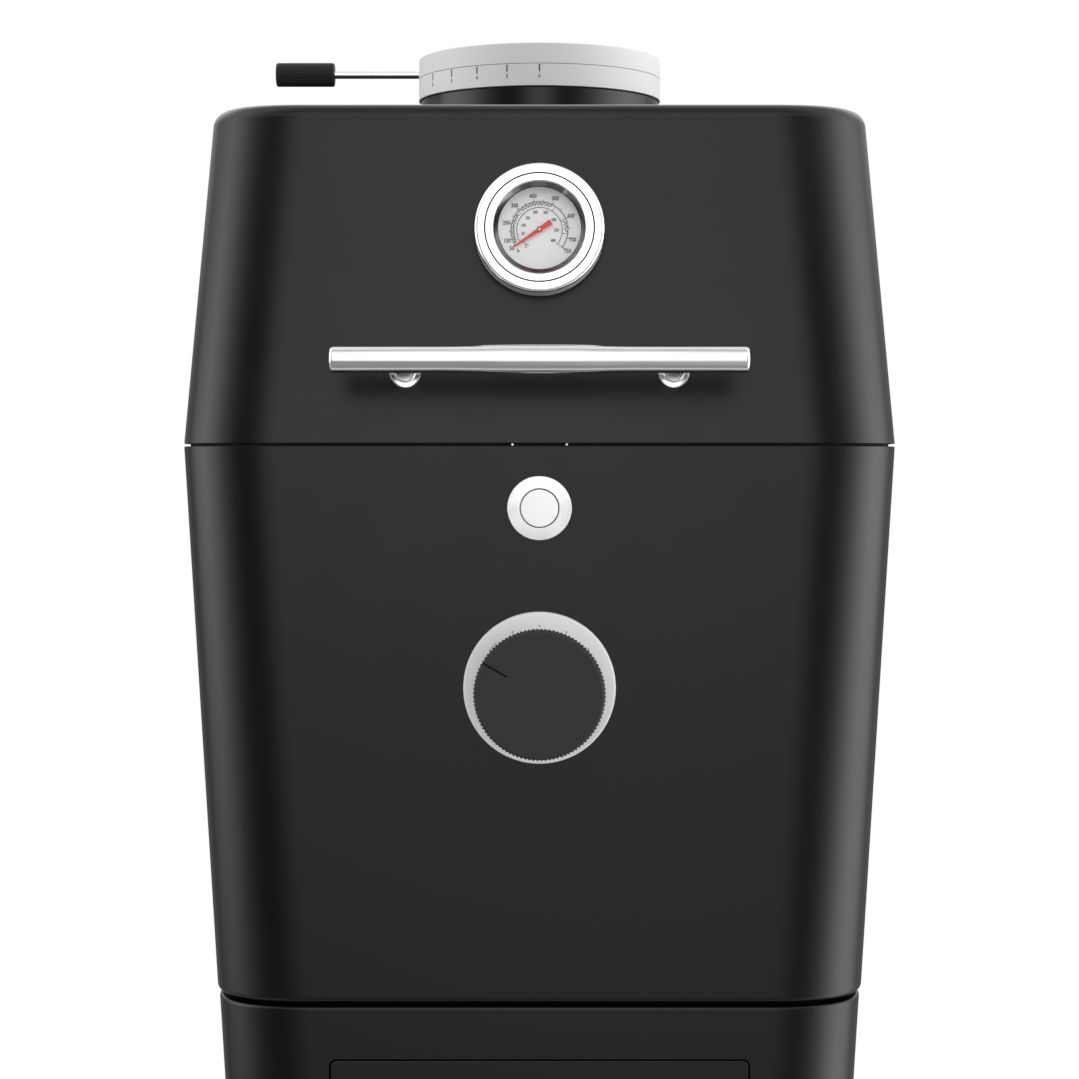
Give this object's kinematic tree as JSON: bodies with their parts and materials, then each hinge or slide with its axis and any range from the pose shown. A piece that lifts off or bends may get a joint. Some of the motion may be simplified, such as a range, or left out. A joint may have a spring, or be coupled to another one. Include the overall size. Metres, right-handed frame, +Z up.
{
  "type": "upright charcoal smoker",
  "caption": "Upright, tapered charcoal smoker and grill with a hinged hood, turning top vent, lid thermometer, air knob, igniter button and ash drawer.",
  "frame": {"origin": "on the floor, under the middle of the whole part's bounding box", "axes": "+Z up, -Y to the front where the handle, thermometer and knob are, +X to the right as seen from the front"},
  "size_m": [0.5138, 0.6185, 1.186],
  "materials": {
    "black_painted_steel": "matt charcoal-black powder coat with a fine texture",
    "grey_metal": "light grey satin casting",
    "brushed_steel": "satin stainless steel, turned or brushed",
    "polished_steel": "polished stainless steel",
    "plain_steel": "plain zinc-coated sheet steel",
    "cast_iron": "matt black cast iron, seasoned",
    "black_enamel": "semi-gloss black vitreous enamel on steel",
    "ceramic_plate": "unglazed fired clay, buff",
    "black_plastic": "matt black heat-proof plastic",
    "knob_black": "matt black moulded phenolic with a fine serrated edge",
    "white_plastic": "white button and dial face",
    "pointer_red": "red lacquered pointer",
    "clear_glass": "clear flat glass",
    "black_felt": "black woven fibre gasket",
    "black_cable": "black rubber-sheathed lead"
  },
  "bodies": {
    "cabinet": {"foot_front_left": "black_plastic", "foot_front_right": "black_plastic", "foot_rear_left": "black_plastic", "foot_rear_right": "black_plastic", "base_floor": "plain_steel", "base_shell": "black_painted_steel", "drawer_shelf": "plain_steel", "drawer_runner_left": "plain_steel", "drawer_runner_right": "plain_steel", "joint_spacer": "black_plastic", "body_floor": "plain_steel", "body_shell": "black_painted_steel", "body_rim": "black_painted_steel", "body_gasket": "black_felt", "fire_bowl": "black_enamel", "ash_chute": "plain_steel", "charcoal_grate": "cast_iron", "heat_deflector": "ceramic_plate", "igniter_element": "brushed_steel", "control_box": "black_plastic", "power_inlet": "black_plastic", "rear_air_grille": "black_painted_steel", "wire_button": "black_cable", "wire_igniter": "black_cable", "dial_ring": "grey_metal", "port_plate": "plain_steel", "button_bezel": "brushed_steel", "button_nut": "plain_steel", "button_spring": "plain_steel", "switch_body": "black_plastic", "hinge_body_leaf": "black_painted_steel", "hinge_pin": "brushed_steel"},
    "drawer": {"drawer_front": "black_painted_steel", "ash_tray": "plain_steel"},
    "knob": {"control_knob": "knob_black", "knob_shaft": "plain_steel", "damper_disc": "plain_steel"},
    "button": {"button_cap": "white_plastic"},
    "grate": {"cooking_grate": "cast_iron"},
    "hood": {"hood_shell": "black_painted_steel", "hood_liner": "plain_steel", "liner_roof": "plain_steel", "vent_collar": "black_painted_steel", "scale_ring": "grey_metal", "vent_seat": "grey_metal", "vent_pivot": "brushed_steel", "gauge_bezel": "polished_steel", "gauge_dial": "white_plastic", "gauge_glass": "clear_glass", "gauge_stem": "brushed_steel", "gauge_nut": "plain_steel", "handle_bar": "brushed_steel", "handle_post_left": "polished_steel", "handle_post_right": "polished_steel", "hinge_hood_leaf_left": "black_painted_steel", "hinge_hood_leaf_right": "black_painted_steel"},
    "vent": {"vent_cap": "grey_metal", "lever_rod": "brushed_steel", "lever_grip": "black_plastic"},
    "needle": {"gauge_pointer": "pointer_red"}
  },
  "joints": [
    {"name": "hood_hinge", "type": "hinge", "parent": "cabinet", "child": "hood", "pos_m": [0, 0.30025, 0.884], "axis": [-1, 0, 0], "range_deg": [0, 75]},
    {"name": "vent_turn", "type": "hinge", "parent": "hood", "child": "vent", "pos_m": [0, 0.02925, 1.1753], "axis": [0, 0, 1], "range_deg": [0, 90]},
    {"name": "needle_turn", "type": "hinge", "parent": "hood", "child": "needle", "pos_m": [0, -0.21503, 1.0296], "axis": [0, 0.9964, -0.0847], "range_deg": [0, 252], "stiffness_Nm_per_rad": 0.002, "springref_deg": -11.46},
    {"name": "button_press", "type": "slide", "parent": "cabinet", "child": "button", "axis": [0, 0.9986, 0.0522], "range_m": [0, 0.003], "stiffness_N_per_m": 500, "springref_m": -0.002, "deforming": ["button_spring"]},
    {"name": "knob_turn", "type": "hinge", "parent": "cabinet", "child": "knob", "pos_m": [0, -0.21881, 0.7091], "axis": [0, 0.9986, 0.0522], "range_deg": [0, 120]},
    {"name": "drawer_slide", "type": "slide", "parent": "cabinet", "child": "drawer", "axis": [0, -1, 0], "range_m": [0, 0.26]},
    {"name": "grate_lift", "type": "slide", "parent": "cabinet", "child": "grate", "axis": [0, 0, 1], "range_m": [0, 0.1]}
  ]
}
